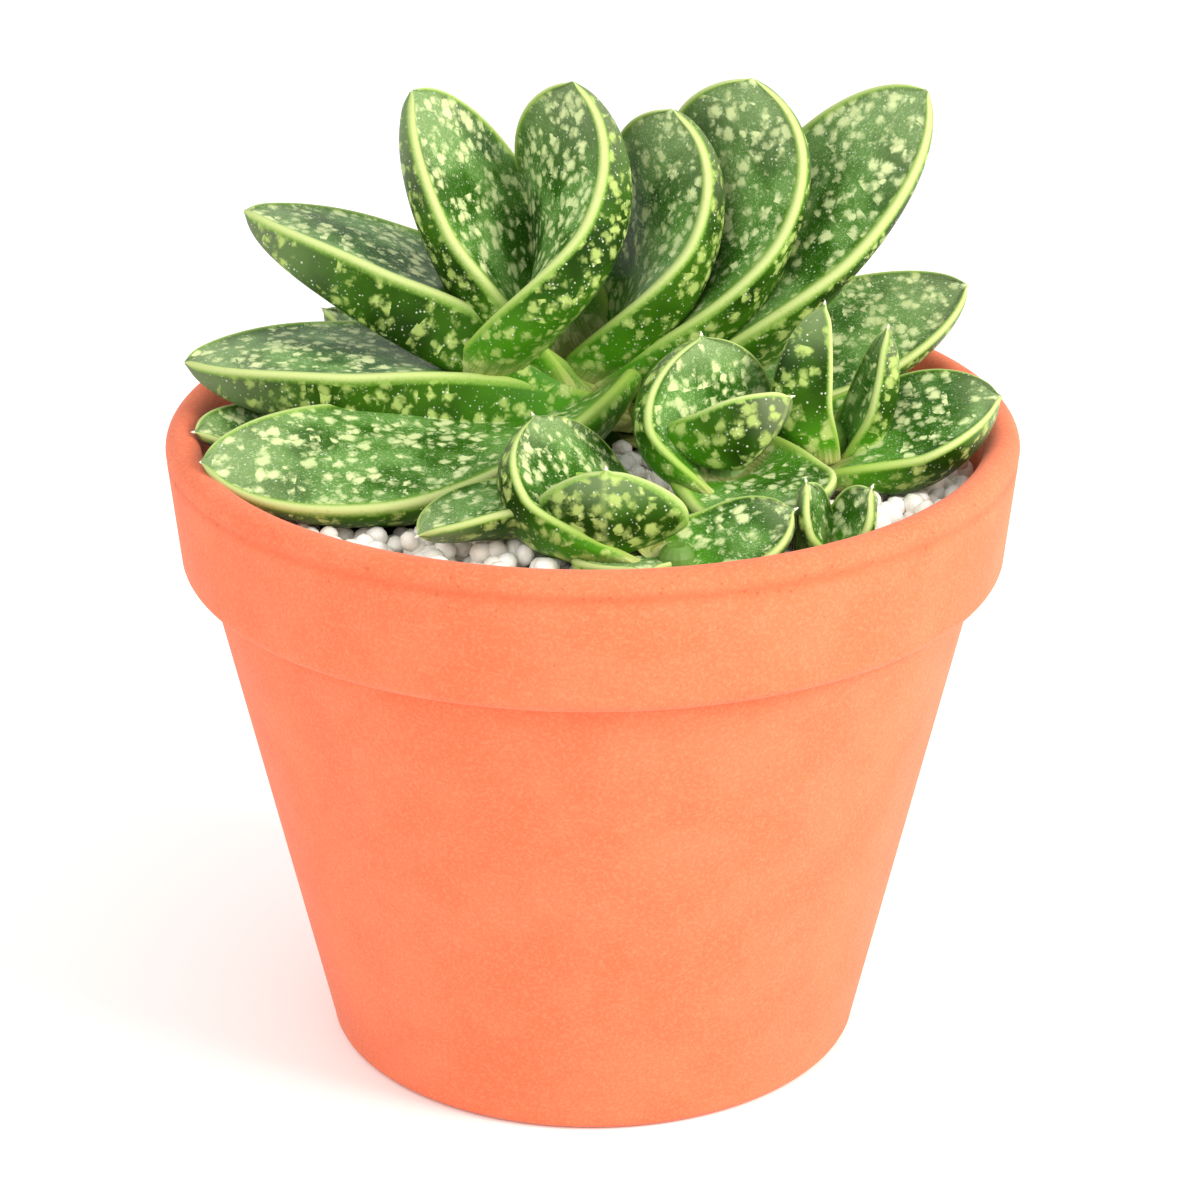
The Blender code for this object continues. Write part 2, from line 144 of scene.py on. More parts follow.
# A leaf starts out from its stem's axis at a height, on a heading counted from +X towards +Y, and bends
# to another by its tip; its pitch above the level goes the same way. Roll turns its upper face about its own
# length, and twist is what its tip adds to that. Wrap is how far each margin curls over at the foot, in
# degrees. Keel is where the ridge of its back lies, from -1 at its left margin to 1 at its right, seen from
# the stem. The higher blunt is, the rounder its tip.
Leaf = namedtuple(
    "Leaf", "name stem out rise heading bend pitch lift length width depth roll twist wrap keel blunt"
)
LEAVES = (
    Leaf("leaf_l4", "main", 4, 95, 180, 0, 69, -12, 47, 27, 8, -23, 0, 80, -0.5, 2.4),
    Leaf("leaf_r5", "main", -10.5, 95, 20, 0, 80, 0, 44, 31, 9, -52, 85, 75, 0.6, 1.8),
    Leaf("leaf_l3", "main", 3, 92, 178, 0, 49, -38, 55, 25, 10, 0, 0, 80, -0.7, 1.9),
    Leaf("leaf_r6", "main", 2, 94, 5, 0, 72, 10, 41, 27, 8, -20, 65, 100, 0.5, 2.8),
    Leaf("leaf_l2", "main", 4, 89.5, 188, 0, 26, -31, 56, 28, 10, 5, -6, 80, -0.7, 2.2),
    Leaf("leaf_r7", "main", 6, 92, 8, 0, 60, 20, 49, 29, 9, -18, 75, 95, 0.4, 3.2),
    Leaf("leaf_l1", "main", 5, 92.4, 236, -53, 1.5, 0, 61, 30, 9, 8, -30, 90, -0.3, 2.4),
    Leaf("leaf_r8", "main", 8, 89, 5, 0, 54, -8, 61, 28, 9, 5, 35, 90, 0.3, 2.4),
    Leaf("leaf_r9", "main", 8, 88, 15, 0, 18, 0, 51, 24, 8, 22, 0, 70, 0.4, 2.2),
    Leaf("offset_a_leaf_1", "a", 2, 87, 141, 0, 46, 6, 20, 28, 8, 14, 0, 100, -0.4, 2.6),
    Leaf("offset_a_leaf_2", "a", 3, 89, 251, 0, 62, 20, 12, 21, 6, 12, 0, 60, 0.0, 1.8),
    Leaf("offset_a_leaf_3", "a", 1.5, 87.5, 283, 0, 10, -6, 12, 17, 5, 0, 0, 68, 0.0, 2.2),
    Leaf("offset_a_leaf_4", "a", 3, 93, 170, 50, 8, -24, 26, 13, 6, 0, 0, 68, 0.0, 2.2),
    Leaf("offset_b_leaf_1", "b", 1, 90, 116, 0, 66, 12, 20, 26, 8, 20, 0, 90, -0.4, 2.2),
    Leaf("offset_b_leaf_2", "b", -4, 95, 338, 0, 46, -24, 16, 16, 8, -24, 0, 68, 0.3, 2.0),
    Leaf("offset_b_leaf_3", "b", 3, 91.5, 299, 0, 8, -10, 16, 21, 6, 8, 0, 68, 0.0, 2.2),
    Leaf("offset_c_leaf_1", "c", 1, 90, 200, 0, 92, 0, 22, 13, 8, -14, 0, 68, -0.5, 1.6),
    Leaf("offset_c_leaf_2", "c", 3, 89, 5, 0, 74, 0, 20, 10, 4, 10, 0, 68, 0.5, 1.5),
    Leaf("offset_c_leaf_3", "c", 3, 90.5, 0, 0, 31, -20, 23, 22, 8, 14, 0, 68, 0.4, 1.9),
    Leaf("offset_d_leaf_1", "d", -2, 87, 170, 0, 74, 0, 10, 10, 3, -10, 0, 68, 0.0, 2.2),
    Leaf("offset_d_leaf_2", "d", 3, 87, 0, 0, 62, 0, 10, 11, 3, 20, 0, 68, 0.0, 2.2),
    Leaf("offset_e_leaf_1", "e", 0, 88, 15, 0, 22, 0, 17, 15, 5, 15, 0, 68, 0.0, 2.4),
    Leaf("offset_f_leaf_1", "f", 1, 88, 215, 0, 16, -5, 23, 13, 4, -20, 0, 68, 0.0, 2.0),
    Leaf("offset_f_leaf_2", "f", 1, 88, 120, 0, 45, 0, 17, 12, 4, 0, 0, 68, 0.0, 2.0),
    Leaf("offset_g_leaf_1", "g", 1, 88, 175, 0, 35, 0, 17, 12, 4, 0, 0, 68, 0.0, 2.0),
    Leaf("offset_g_leaf_2", "g", 1, 88, 70, 0, 40, 0, 18, 12, 4, 0, 0, 68, 0.0, 2.0),
)


# Colour and shader helpers
def linear(hex_colour):
    """An sRGB hex colour as linear RGBA."""
    values = [int(hex_colour[i : i + 2], 16) / 255 for i in (0, 2, 4)]
    straight = [v / 12.92 if v <= 0.04045 else ((v + 0.055) / 1.055) ** 2.4 for v in values]
    return (*straight, 1.0)


def node(tree, kind, inputs=None, **settings):
    """Adds a shader node with its settings; an input that is given a socket is linked, any other is set."""
    made = tree.nodes.new("ShaderNode" + kind)
    for name, value in settings.items():
        setattr(made, name, value)
    for name, value in (inputs or {}).items():
        if isinstance(value, bpy.types.NodeSocket):
            tree.links.new(value, made.inputs[name])
        else:
            made.inputs[name].default_value = value
    return made


def new_material(name, roughness, **uniform):
    """A material whose shader has its plain values set, and its tree and shader."""
    made = bpy.data.materials.new(name)
    made.use_nodes = True
    shader = made.node_tree.nodes["Principled BSDF"]
    shader.inputs["Roughness"].default_value = roughness
    for socket, value in uniform.items():
        shader.inputs[socket.replace("_", " ")].default_value = value
    return made, made.node_tree, shader


def object_in_mm(tree):
    """Object coordinates in millimetres."""
    place = node(tree, "TexCoord").outputs["Object"]
    return node(tree, "Mapping", {"Vector": place, "Scale": (TO_MM,) * 3}).outputs["Vector"]


def step_between(tree, value, low, high, to_low=0.0, to_high=1.0):
    """A soft step of a value from low to high."""
    return node(
        tree,
        "MapRange",
        {"Value": value, "From Min": low, "From Max": high, "To Min": to_low, "To Max": to_high},
        interpolation_type="SMOOTHSTEP",
    ).outputs["Result"]


def math_of(tree, operation, first, second=0.0):
    return node(tree, "Math", {0: first, 1: second}, operation=operation).outputs["Value"]


def mixed(tree, factor, first, second):
    """Two colours mixed by a factor; a colour is a hex string or a socket."""
    ends = [linear(end) if isinstance(end, str) else end for end in (first, second)]
    return node(tree, "Mix", {0: factor, 6: ends[0], 7: ends[1]}, data_type="RGBA").outputs[2]


def attribute(tree, name):
    return node(tree, "Attribute", attribute_name=name).outputs["Fac"]


def spots(tree, place, pitch, radius, soft, share, ragged, wobble, faintest):
    """Round spots, one to a cell of the pitch in millimetres, in the given share of the cells. The radius runs
    from one share of the pitch to another, the rim is as soft as a share of it and as ragged as a noise, and
    each spot is as strong as its own number from the faintest to 1."""
    cells = node(tree, "TexVoronoi", {"Vector": place, "Scale": 1 / pitch, "Randomness": 0.85})
    own = node(tree, "SeparateColor", {"Color": cells.outputs["Color"]})
    size = step_between(tree, own.outputs["Green"], 0.0, 1.0, *radius)
    far = math_of(tree, "ADD", cells.outputs["Distance"], math_of(tree, "MULTIPLY", ragged, wobble))
    inside = step_between(tree, math_of(tree, "SUBTRACT", size, far), -soft, soft)
    chosen = math_of(tree, "LESS_THAN", own.outputs["Red"], share)
    strength = step_between(tree, own.outputs["Blue"], 0.0, 1.0, faintest, 1.0)
    return math_of(tree, "MULTIPLY", math_of(tree, "MULTIPLY", inside, chosen), strength)


# Materials
def gasteria_skin():
    """Firm living leaf with a skin of wax bloom: dark green, blotched and dotted, with pale thick margins, and
    painted shade, sheen, glints and glow in its colour.
    """
    made, tree, shader = new_material("gasteria_leaf_skin", 0.34, Specular_IOR_Level=0.06)
    place = object_in_mm(tree)
    edge = attribute(tree, "edge")
    keel = attribute(tree, "keel")
    along = attribute(tree, "along")
    upper = attribute(tree, "upper")
    skin = node(tree, "Attribute", attribute_name="skin").outputs["Vector"]
    rough = node(tree, "TexNoise", {"Vector": place, "Scale": 2.6, "Detail": 3.0, "Roughness": 0.7})
    ragged = math_of(tree, "SUBTRACT", rough.outputs["Fac"], 0.5)
    drift = node(tree, "TexNoise", {"Vector": place, "Scale": 0.11, "Detail": 2.0}).outputs["Fac"]

    # Round blotches of 1 to 2 mm with feathered rims, which cluster in bands across the leaf
    across = node(tree, "Mapping", {"Vector": skin, "Scale": (0.06, 0.26, 1)}).outputs["Vector"]
    bands = node(tree, "TexNoise", {"Vector": across, "Scale": 1.0, "Detail": 1.5}).outputs["Fac"]
    crowd = step_between(tree, bands, 0.34, 0.56, 0.3, 1.0)
    swirl = node(tree, "TexNoise", {"Vector": place, "Scale": 0.8, "Detail": 2.0}).outputs["Color"]
    sway = node(tree, "VectorMath", {0: swirl, 1: (0.5,) * 3}, operation="SUBTRACT").outputs[0]
    moved = node(tree, "VectorMath", {0: sway, 1: (1.9,) * 3, 2: place}, operation="MULTIPLY_ADD").outputs[0]
    sparse = math_of(tree, "MULTIPLY", crowd, 0.4)
    blotch = math_of(
        tree,
        "MAXIMUM",
        spots(tree, moved, BLOTCH_PITCH, (0.26, 0.44), 0.18, crowd, ragged, 0.3, 0.75),
        spots(tree, moved, SMALL_BLOTCH_PITCH, (0.25, 0.45), 0.2, sparse, ragged, 0.3, 0.5),
    )

    # Raised white dots, and fine worm-like glints of the wax in patches: the glints are painted highlights, also
    # raised a little
    dots = spots(tree, place, DOT_PITCH, (0.12, 0.26), 0.08, 0.7, ragged, 0.05, 0.1)
    worms = node(tree, "TexNoise", {"Vector": place, "Scale": 1.25, "Detail": 0.5, "Distortion": 1.3}).outputs["Fac"]
    thin = math_of(tree, "ABSOLUTE", math_of(tree, "SUBTRACT", worms, 0.5))
    patch = math_of(tree, "MULTIPLY", step_between(tree, drift, 0.35, 0.6, 0.3, 1.0), upper)
    painted_glint = math_of(tree, "MULTIPLY", step_between(tree, thin, 0.04, 0.012), patch)

    # Greens: darker on the back than on the upper face, as painted shade; brighter towards the foot, partly its
    # young green and partly a painted glow of light shining through the leaf; dull and greyed higher up by wax
    # bloom, partly a painted sheen
    drifted = step_between(tree, drift, 0.35, 0.65)
    # The back is painted darker than the upper face: painted shade
    green = mixed(tree, upper, mixed(tree, drifted, "1C3806", "345C0E"), mixed(tree, drifted, "265208", "4C8222"))
    # Grey-green wax bloom in patches on the upper face, partly a painted sheen
    wax_and_painted_sheen = math_of(tree, "MULTIPLY", step_between(tree, drift, 0.4, 0.65, 0.0, 0.3), upper)
    green = mixed(tree, wax_and_painted_sheen, green, "7E9A66")
    # Greyer towards the tip: wax bloom, partly a painted sheen
    green = mixed(tree, step_between(tree, along, 0.65, 1.0, 0.0, 0.5), green, "8A9870")
    # Brighter green towards the foot: partly the leaf's young green, partly a painted glow of light shining through
    # it
    green = mixed(tree, step_between(tree, along, 0.5, 0.12, 0.0, 0.85), green, "4A8C14")
    # The pale blotches are lighter on the upper face and darker on the back: painted shade
    pale = mixed(tree, upper, "AEC46C", "D4E0A2")
    spotted = mixed(tree, math_of(tree, "MULTIPLY", blotch, 0.95), green, pale)
    # The worm-like glints, painted highlights, are laid over the spotted green
    with_painted_glints = mixed(tree, math_of(tree, "MULTIPLY", painted_glint, 0.45), spotted, "B4CB96")
    dotted = mixed(tree, math_of(tree, "MULTIPLY", dots, 0.6), with_painted_glints, "E9F2D8")

    # Thick pale margins that melt into bright green, and a finer pale line along the keel
    reach = math_of(tree, "ADD", edge, math_of(tree, "MULTIPLY", ragged, 0.9))
    halo = mixed(tree, step_between(tree, reach, 2.3, 0.9), dotted, "6F9E30")
    rim = mixed(tree, step_between(tree, along, 0.15, 0.6), "98B650", "BAC682")
    lined = mixed(tree, step_between(tree, reach, 1.9, 0.25, 0.0, 0.95), halo, rim)
    ridge = math_of(tree, "ADD", keel, math_of(tree, "MULTIPLY", ragged, 0.8))
    lined = mixed(tree, step_between(tree, ridge, 0.7, 0.1, 0.0, 0.25), lined, "A9BF70")

    # The foot: a fibrous sheath, pale olive with fine lines along the leaf
    fibre = node(tree, "Mapping", {"Vector": skin, "Scale": (2.6, 0.12, 1)}).outputs["Vector"]
    fibres = node(tree, "TexNoise", {"Vector": fibre, "Scale": 1.0, "Detail": 2.0}).outputs["Fac"]
    olive = mixed(tree, step_between(tree, fibres, 0.35, 0.65), "959A4C", "C6C586")
    foot = math_of(tree, "ADD", along, math_of(tree, "MULTIPLY", ragged, 0.08))
    sheathed = mixed(tree, step_between(tree, foot, SHEATH_END, SHEATH_END * 0.3, 0.0, 0.8), lined, olive)

    # The dry white point
    colour = mixed(tree, step_between(tree, along, 1.005, 1.02), sheathed, "F3E9DA")
    tree.links.new(colour, shader.inputs["Base Color"])

    relief = math_of(tree, "ADD", dots, math_of(tree, "MULTIPLY", painted_glint, 0.3))
    bump = node(tree, "Bump", {"Height": relief, "Strength": 0.6, "Distance": 0.1 * MM})
    tree.links.new(bump.outputs["Normal"], shader.inputs["Normal"])
    return made


def stem_flesh_in_painted_shade():
    """The short stem, hidden among the leaf feet: fibrous green, painted darker than its own pale green as shade
    among the leaves.
    """
    made, tree, shader = new_material("gasteria_stem", 0.6)
    place = object_in_mm(tree)
    fibres = node(tree, "TexNoise", {"Vector": place, "Scale": 1.2, "Detail": 3.0}).outputs["Fac"]
    # Darker than the stem's own green: painted shade
    tree.links.new(mixed(tree, fibres, "456F1C", "668C34"), shader.inputs["Base Color"])
    return made


def fired_terracotta():
    """Unglazed earthenware, turned and fired: a warm orange with fine grit, pits and faint turning bands."""
    made, tree, shader = new_material("fired_terracotta", 0.85, Sheen_Weight=0.1, Specular_IOR_Level=0.2)
    place = object_in_mm(tree)
    mottle = node(tree, "TexNoise", {"Vector": place, "Scale": 0.09, "Detail": 5.0, "Roughness": 0.6}).outputs["Fac"]
    rings = node(tree, "Mapping", {"Vector": place, "Scale": (0.01, 0.01, 0.35)}).outputs["Vector"]
    turning = node(tree, "TexNoise", {"Vector": rings, "Scale": 1.0, "Detail": 2.0}).outputs["Fac"]
    grit = node(tree, "TexNoise", {"Vector": place, "Scale": 2.2, "Detail": 3.0, "Roughness": 0.7}).outputs["Fac"]
    clay = mixed(tree, step_between(tree, mottle, 0.35, 0.65), "D86842", "DE704A")
    clay = mixed(tree, math_of(tree, "MULTIPLY", step_between(tree, turning, 0.4, 0.62), 0.2), clay, "D96944")
    clay = mixed(tree, math_of(tree, "MULTIPLY", step_between(tree, grit, 0.45, 0.65), 0.3), clay, "EA946E")
    height = node(tree, "SeparateXYZ", {"Vector": place}).outputs["Z"]
    from_line = math_of(tree, "ABSOLUTE", math_of(tree, "SUBTRACT", height, POT_HEIGHT - THROWING_LINE))
    # Darker along the throwing line: painted shade of its groove
    clay = mixed(tree, step_between(tree, from_line, 1.6, 0.1, 0.0, 0.35), clay, "CC5730")
    pit_cells = node(tree, "TexVoronoi", {"Vector": place, "Scale": 0.55}).outputs["Distance"]
    pit_size = step_between(tree, from_line, 4.0, 0.0, 0.07, 0.15)
    pits = step_between(tree, math_of(tree, "SUBTRACT", pit_cells, pit_size), 0.02, -0.03)
    clay = mixed(tree, math_of(tree, "MULTIPLY", pits, 0.5), clay, "B4502A")
    tree.links.new(clay, shader.inputs["Base Color"])
    relief = math_of(tree, "SUBTRACT", math_of(tree, "MULTIPLY", grit, 0.5), pits)
    bump = node(tree, "Bump", {"Height": relief, "Strength": 0.45, "Distance": 0.2 * MM})
    tree.links.new(bump.outputs["Normal"], shader.inputs["Normal"])
    return made


def tumbled_pebble():
    """Tumbled white limestone grit: warm white, each stone a little different, with a dusty sheen."""
    made, tree, shader = new_material("tumbled_white_pebble", 0.5)
    place = object_in_mm(tree)
    own = node(tree, "NewGeometry").outputs["Random Per Island"]
    lumps = node(tree, "TexNoise", {"Vector": place, "Scale": 1.1, "Detail": 3.0}).outputs["Fac"]
    white = mixed(tree, own, "FFFDF8", "F4EEE2")
    white = mixed(tree, math_of(tree, "MULTIPLY", step_between(tree, lumps, 0.5, 0.7), 0.3), white, "E2D6C0")
    tree.links.new(white, shader.inputs["Base Color"])
    bump = node(tree, "Bump", {"Height": lumps, "Strength": 0.5, "Distance": 0.3 * MM})
    tree.links.new(bump.outputs["Normal"], shader.inputs["Normal"])
    return made


def potting_mix():
    """Dark peaty soil with grit, seen only between pebbles and through the drain hole."""
    made, tree, shader = new_material("peat_potting_mix", 0.95)
    place = object_in_mm(tree)
    crumbs = node(tree, "TexNoise", {"Vector": place, "Scale": 0.9, "Detail": 5.0, "Roughness": 0.7}).outputs["Fac"]
    soil = mixed(tree, step_between(tree, crumbs, 0.4, 0.7), "2A1D14", "6B5440")
    tree.links.new(soil, shader.inputs["Base Color"])
    bump = node(tree, "Bump", {"Height": crumbs, "Strength": 0.8, "Distance": 0.8 * MM})
    tree.links.new(bump.outputs["Normal"], shader.inputs["Normal"])
    return made


def studio_paper():
    """Pale paper that the pot stands on."""
    made, tree, shader = new_material("pale_paper", 0.9)
    shader.inputs["Base Color"].default_value = linear("FCFBFA")
    return made


# Making an object of a finished mesh
def piece_from(bm, name, finish, nodes=(), slot=None):
    bmesh.ops.scale(bm, vec=(MM,) * 3, verts=bm.verts)
    bmesh.ops.recalc_face_normals(bm, faces=bm.faces)
    mesh = bpy.data.meshes.new(name)
    bm.to_mesh(mesh)
    bm.free()
    mesh.shade_smooth()
    mesh.materials.append(finish)
    piece = bpy.data.objects.new(name, mesh)
    bpy.context.scene.collection.objects.link(piece)
    if slot:
        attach(piece, BODY)
    if nodes:
        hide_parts(*nodes)
    return piece


# The pot
def arc(centre, radius, start, end, steps):
    """Points on an arc in the (radius, height) plane, by angles in degrees."""
    turns = [math.radians(start + (end - start) * i / steps) for i in range(steps + 1)]
    return [(centre[0] + radius * math.cos(a), centre[1] + radius * math.sin(a)) for a in turns]


def inside_radius(height):
    taper = BASE_RADIUS - WALL + (BODY_TOP_RADIUS - BASE_RADIUS) * height / BAND_LOW
    if height <= BAND_LOW:
        return taper
    share = min(1.0, (height - BAND_LOW) / (UPRIGHT_FROM - BAND_LOW))
    return inside_radius(BAND_LOW) * (1 - share) + (RIM_RADIUS - WALL) * share


def band_radius(height):
    """The band's outside, which narrows a little from the rim down."""
    share = (POT_HEIGHT - LIP - height) / (BAND_HEIGHT - LIP)
    return RIM_RADIUS + (BAND_LOW_RADIUS - RIM_RADIUS) * share


def make_pot(finish):
    lip_centre = (RIM_RADIUS - LIP, POT_HEIGHT - LIP)
    line = POT_HEIGHT - THROWING_LINE
    profile = arc(lip_centre, LIP, 90, 0, 10)
    profile += [(band_radius(line + 0.5), line + 0.5), (band_radius(line) - THROWING_DEPTH, line)]
    profile += [(band_radius(line - 0.5), line - 0.5)]
    profile += arc((BAND_LOW_RADIUS - BAND_EDGE, BAND_LOW + BAND_EDGE), BAND_EDGE, 0, -90, 8)
    profile += arc((BODY_TOP_RADIUS + BAND_FILLET, BAND_LOW - BAND_FILLET), BAND_FILLET, 90, 180, 4)
    profile += arc((BASE_RADIUS - FOOT_ROUND, FOOT_ROUND), FOOT_ROUND, 0, -90, 5)
    profile += [(DRAIN_RADIUS + 0.8, 0)] + arc((DRAIN_RADIUS + 0.8, 0.8), 0.8, -90, -180, 3)[1:]
    profile += [(DRAIN_RADIUS, FLOOR)]
    profile += [(inside_radius(FLOOR) - FLOOR_FILLET, FLOOR)]
    profile += [(inside_radius(FLOOR + FLOOR_FILLET), FLOOR + FLOOR_FILLET)]
    profile += [(inside_radius(BAND_LOW), BAND_LOW), (RIM_RADIUS - WALL, UPRIGHT_FROM)]
    profile += arc(lip_centre, LIP, 180, 90, 10)[:-1]
    bm = bmesh.new()
    points = [bm.verts.new((radius, 0, height)) for radius, height in profile]
    edges = [bm.edges.new(pair) for pair in zip(points, points[1:] + points[:1])]
    bmesh.ops.spin(
        bm,
        geom=points + edges,
        cent=(0, 0, 0),
        axis=(0, 0, 1),
        angle=2 * math.pi,
        steps=POT_SIDES,
        use_merge=True,
    )
    bmesh.ops.remove_doubles(bm, verts=bm.verts, dist=0.0005)
    pot = piece_from(bm, "terracotta_pot", finish, ["pot"], "terracotta")
    pot.data.set_sharp_from_angle(angle=math.radians(50))
    return pot


# The leaves
def ease(t):
    return t * t * (3 - 2 * t)


def spine_of(leaf):
    """The leaf's middle line in fine steps, as (place, along, up)."""
    start = math.radians(leaf.heading)
    stem = STEMS[leaf.stem]
    place = stem + Vector((leaf.out * math.cos(start), leaf.out * math.sin(start), leaf.rise))
    found = []
    for i in range(SPINE_STEPS + 1):
        t = i / SPINE_STEPS
        heading = math.radians(leaf.heading + leaf.bend * ease(t))
        pitch = math.radians(leaf.pitch + leaf.lift * ease(t))
        flat = Vector((math.cos(heading), math.sin(heading), 0))
        along = flat * math.cos(pitch) + Vector((0, 0, math.sin(pitch)))
        up = -flat * math.sin(pitch) + Vector((0, 0, math.cos(pitch)))
        roll = Matrix.Rotation(math.radians(leaf.roll + leaf.twist * t), 3, along)
        found.append((place.copy(), along, roll @ up))
        place += along * (leaf.length / SPINE_STEPS)
    return found


def half_width(leaf, t):
    if t < WIDEST:
        swell = math.sin(t / WIDEST * math.pi / 2)
        return leaf.width / 2 * (FOOT_WIDTH + (1 - FOOT_WIDTH) * swell)
    return leaf.width / 2 * (1 - ((t - WIDEST) / (1 - WIDEST)) ** leaf.blunt) ** WIDTH_FALL


def depth_at(leaf, t):
    swell = math.sin(min(t / WIDEST, 1) * math.pi / 2)
    return leaf.depth * (FOOT_DEPTH + (1 - FOOT_DEPTH) * swell) * (1 - t**DEPTH_BLUNT) ** DEPTH_FALL


def section(leaf, t):
    """The outline across as (sideways, upwards, kind) points, from the left margin over the upper face to the
    right margin and back under the keel."""
    half = half_width(leaf, t)
    roll = min(MARGIN_RADIUS, half * MARGIN_MOST)
    low = -max(depth_at(leaf, t), 2 * roll)
    ridge = leaf.keel * half
    crown = CROWN * half + 0.25
    bulge = FLANK_BULGE * half
    top = [
        (half, 0.1 * roll, "margin"),
        (half - 0.3 * roll, 0.8 * roll, "margin"),
        (half - 1.1 * roll, 1.05 * roll, "margin"),
        (half - 2.1 * roll, 0.6 * roll, "face"),
        (half * 0.55, crown * 0.7, "face"),
        (half * 0.18, crown, "face"),
    ]
    near = [
        (half - 0.25 * roll, -0.7 * roll, "back"),
        (half * 0.95 - 0.5 * roll + bulge * 0.5, low * 0.28, "back"),
        ((half + ridge) / 2 + bulge, low * FLANK_DEPTH, "back"),
        (ridge + half * RIDGE_HALF * 1.6, low * 0.95, "back"),
        (ridge, low * 1.02, "keel"),
    ]
    far = [
        (ridge - half * RIDGE_HALF * 1.6, low * 0.95, "back"),
        ((ridge - half) / 2 - bulge, low * FLANK_DEPTH, "back"),
        (-half * 0.95 + 0.5 * roll - bulge * 0.5, low * 0.28, "back"),
        (-half + 0.25 * roll, -0.7 * roll, "back"),
    ]
    left = [(-side, height, kind) for side, height, kind in top]
    return left + top[::-1] + near + far


def clasped(leaf, t, points):
    """Curls a section's outline up towards its upper face, as a leaf's foot wraps what stands inside it, and
    slants the curled sides back so that they rise straight up. Each point gains how far back it went."""
    end = MAIN_WRAP_END if leaf.stem == "main" else OFFSET_WRAP_END
    if t >= end:
        return [(side, height, 0.0, kind) for side, height, kind in points]
    turn = math.radians(leaf.wrap) * (1 - t / end) ** WRAP_FALL
    radius = half_width(leaf, t) / turn
    lean = math.tan(math.radians(leaf.pitch))
    slant = math.copysign(min(SLANT_MOST, 1 / max(abs(lean), 0.01)), 90 - leaf.pitch)
    curled = []
    for side, height, kind in points:
        angle = side / radius
        inward = radius - height
        back = slant * radius * (math.cos(angle) - 1)
        curled.append((math.sin(angle) * inward, radius - math.cos(angle) * inward, back, kind))
    return curled


def walked(points):
    """How far each point lies round the outline from the middle of the upper face, from the nearest margin's
    crest and from the keel, in millimetres."""
    count = len(points)
    at = [0.0]
    for i in range(count):
        a, b = points[i], points[(i + 1) % count]
        at.append(at[-1] + math.hypot(a[0] - b[0], a[1] - b[1]))
    whole = at[count]

    def between(i, j):
        gap = abs(at[i] - at[j])
        return min(gap, whole - gap)

    crests = (1, 10)
    middle = (5, 6)
    keel = next(i for i in range(count) if points[i][3] == "keel")
    return [
        (
            min(between(i, m) for m in middle),
            min(between(i, c) for c in crests),
            between(i, keel),
        )
        for i in range(count)
    ]


def make_leaf(leaf, number, finish):
    """Lofts the leaf's sections along its spine by extruding the base section from ring to ring."""
    spine = spine_of(leaf)
    bm = bmesh.new()
    edge = bm.verts.layers.float.new("edge")
    keel = bm.verts.layers.float.new("keel")
    along_share = bm.verts.layers.float.new("along")
    upper = bm.verts.layers.float.new("upper")
    skin = bm.verts.layers.float_vector.new("skin")
    face = base = None
    for ring in range(RINGS):
        share = ring / RINGS
        t = 1 - (1 - share) ** RING_CROWD
        place, along, up = spine_at(spine, t)
        across = along.cross(up)
        points = clasped(leaf, t, section(leaf, t))
        lengths = walked(points)
        if face is None:
            face = base = bm.faces.new([bm.verts.new(point[:3]) for point in points])
        else:
            made = bmesh.ops.extrude_face_region(bm, geom=[face])
            if face is not base:
                bmesh.ops.delete(bm, geom=[face], context="FACES_ONLY")
            face = next(item for item in made["geom"] if isinstance(item, bmesh.types.BMFace))
        for vert, (side, height, back, kind), (out, margin, ridge) in zip(face.verts, points, lengths):
            vert.co = place + across * side + up * height + along * back
            vert[edge] = margin / (margin_width(leaf) * (1 - MARGIN_TAPER * t))
            vert[keel] = ridge
            vert[along_share] = t
            vert[upper] = 1.0 if kind == "face" else 0.0
            vert[skin] = (out, t * leaf.length, number * 40.0)
    end, along, _ = spine[-1]
    made = bmesh.ops.extrude_face_region(bm, geom=[face])
    bmesh.ops.delete(bm, geom=[face], context="FACES_ONLY")
    face = next(item for item in made["geom"] if isinstance(item, bmesh.types.BMFace))
    centre = face.calc_center_median()
    for vert in face.verts:
        out = vert.co - centre
        vert.co = end + (out - along * out.dot(along)).normalized() * MUCRO_RADIUS
        vert[along_share] = 1.0
    poked = bmesh.ops.poke(bm, faces=[face])
    tip = poked["verts"][0]
    tip.co = end + along * MUCRO_LENGTH[leaf.stem != "main"]
    tip[along_share] = 1.04
    piece = piece_from(bm, leaf.name + "_skin", finish, [leaf.name], "leaf")
    rounder = piece.modifiers.new("rounder", "SUBSURF")
    rounder.levels = 2
    rounder.render_levels = 2
    return piece


def margin_width(leaf):
    usual = MARGIN_WIDTH if leaf.stem == "main" else OFFSET_MARGIN
    return THICK_MARGINS.get(leaf.name, usual)


def spine_at(spine, t):
    index = min(int(t * SPINE_STEPS), SPINE_STEPS - 1)
    share = t * SPINE_STEPS - index
    before, after = spine[index], spine[index + 1]
    place = before[0].lerp(after[0], share)
    along = before[1].lerp(after[1], share).normalized()
    up = before[2].lerp(after[2], share).normalized()
    return place, along, up


# The pebbles
def tree_of(pieces):
    """A search tree over the finished surfaces of some pieces, in millimetres."""
    bm = bmesh.new()
    graph = bpy.context.evaluated_depsgraph_get()
    for piece in pieces:
        bm.from_object(piece, graph)
    bmesh.ops.scale(bm, vec=(TO_MM,) * 3, verts=bm.verts)
    tree = BVHTree.FromBMesh(bm)
    bm.free()
    return tree


